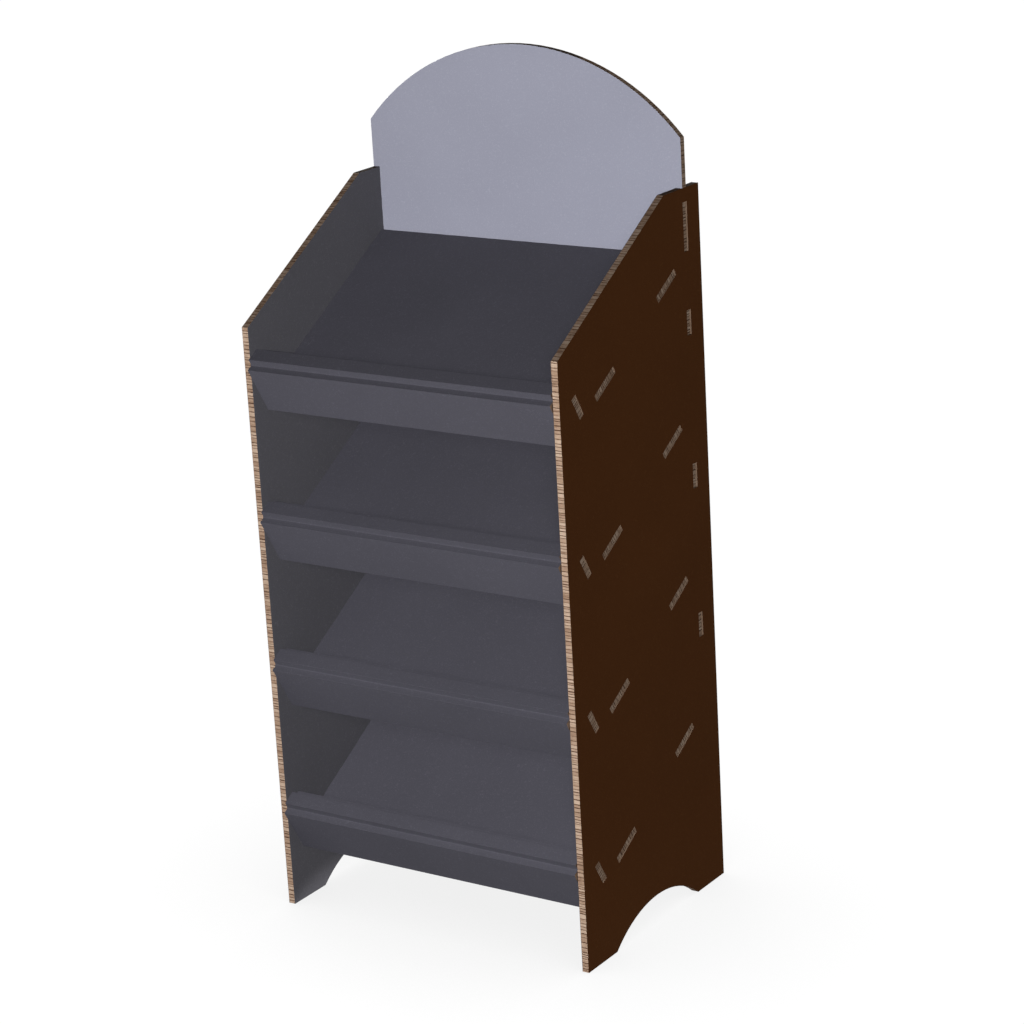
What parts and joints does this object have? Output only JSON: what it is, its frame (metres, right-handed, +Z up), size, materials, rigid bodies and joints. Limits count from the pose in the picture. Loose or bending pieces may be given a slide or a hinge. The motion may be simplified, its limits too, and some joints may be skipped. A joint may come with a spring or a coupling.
{
  "type": "cardboard display stand",
  "caption": "Free-standing flat-packed cardboard display stand with sloping lipped shelves between two arched-foot sides and a tall arched header behind the top shelf.",
  "frame": {"origin": "middle of the bounding box in plan, on the floor the stand rests on", "axes": "+Z up, +X to the right seen from the front, +Y to the back"},
  "size_m": [0.5, 0.3692, 1.1755],
  "materials": {
    "side_board": "dark brown matt liner outside, charcoal inside, bare tan cut edges",
    "shelf_board": "charcoal satin liner, bare tan cut ends",
    "header_board": "pale lavender-grey satin liner in front, dark brown liner behind, bare cut edges"
  },
  "bodies": {
    "root": {"side_left": "side_board", "side_right": "side_board", "back_panel": "header_board", "shelf_1": "shelf_board", "lip_1": "shelf_board", "shelf_2": "shelf_board", "lip_2": "shelf_board", "shelf_3": "shelf_board", "lip_3": "shelf_board", "shelf_4": "shelf_board", "lip_4": "shelf_board"}
  },
  "joints": []
}
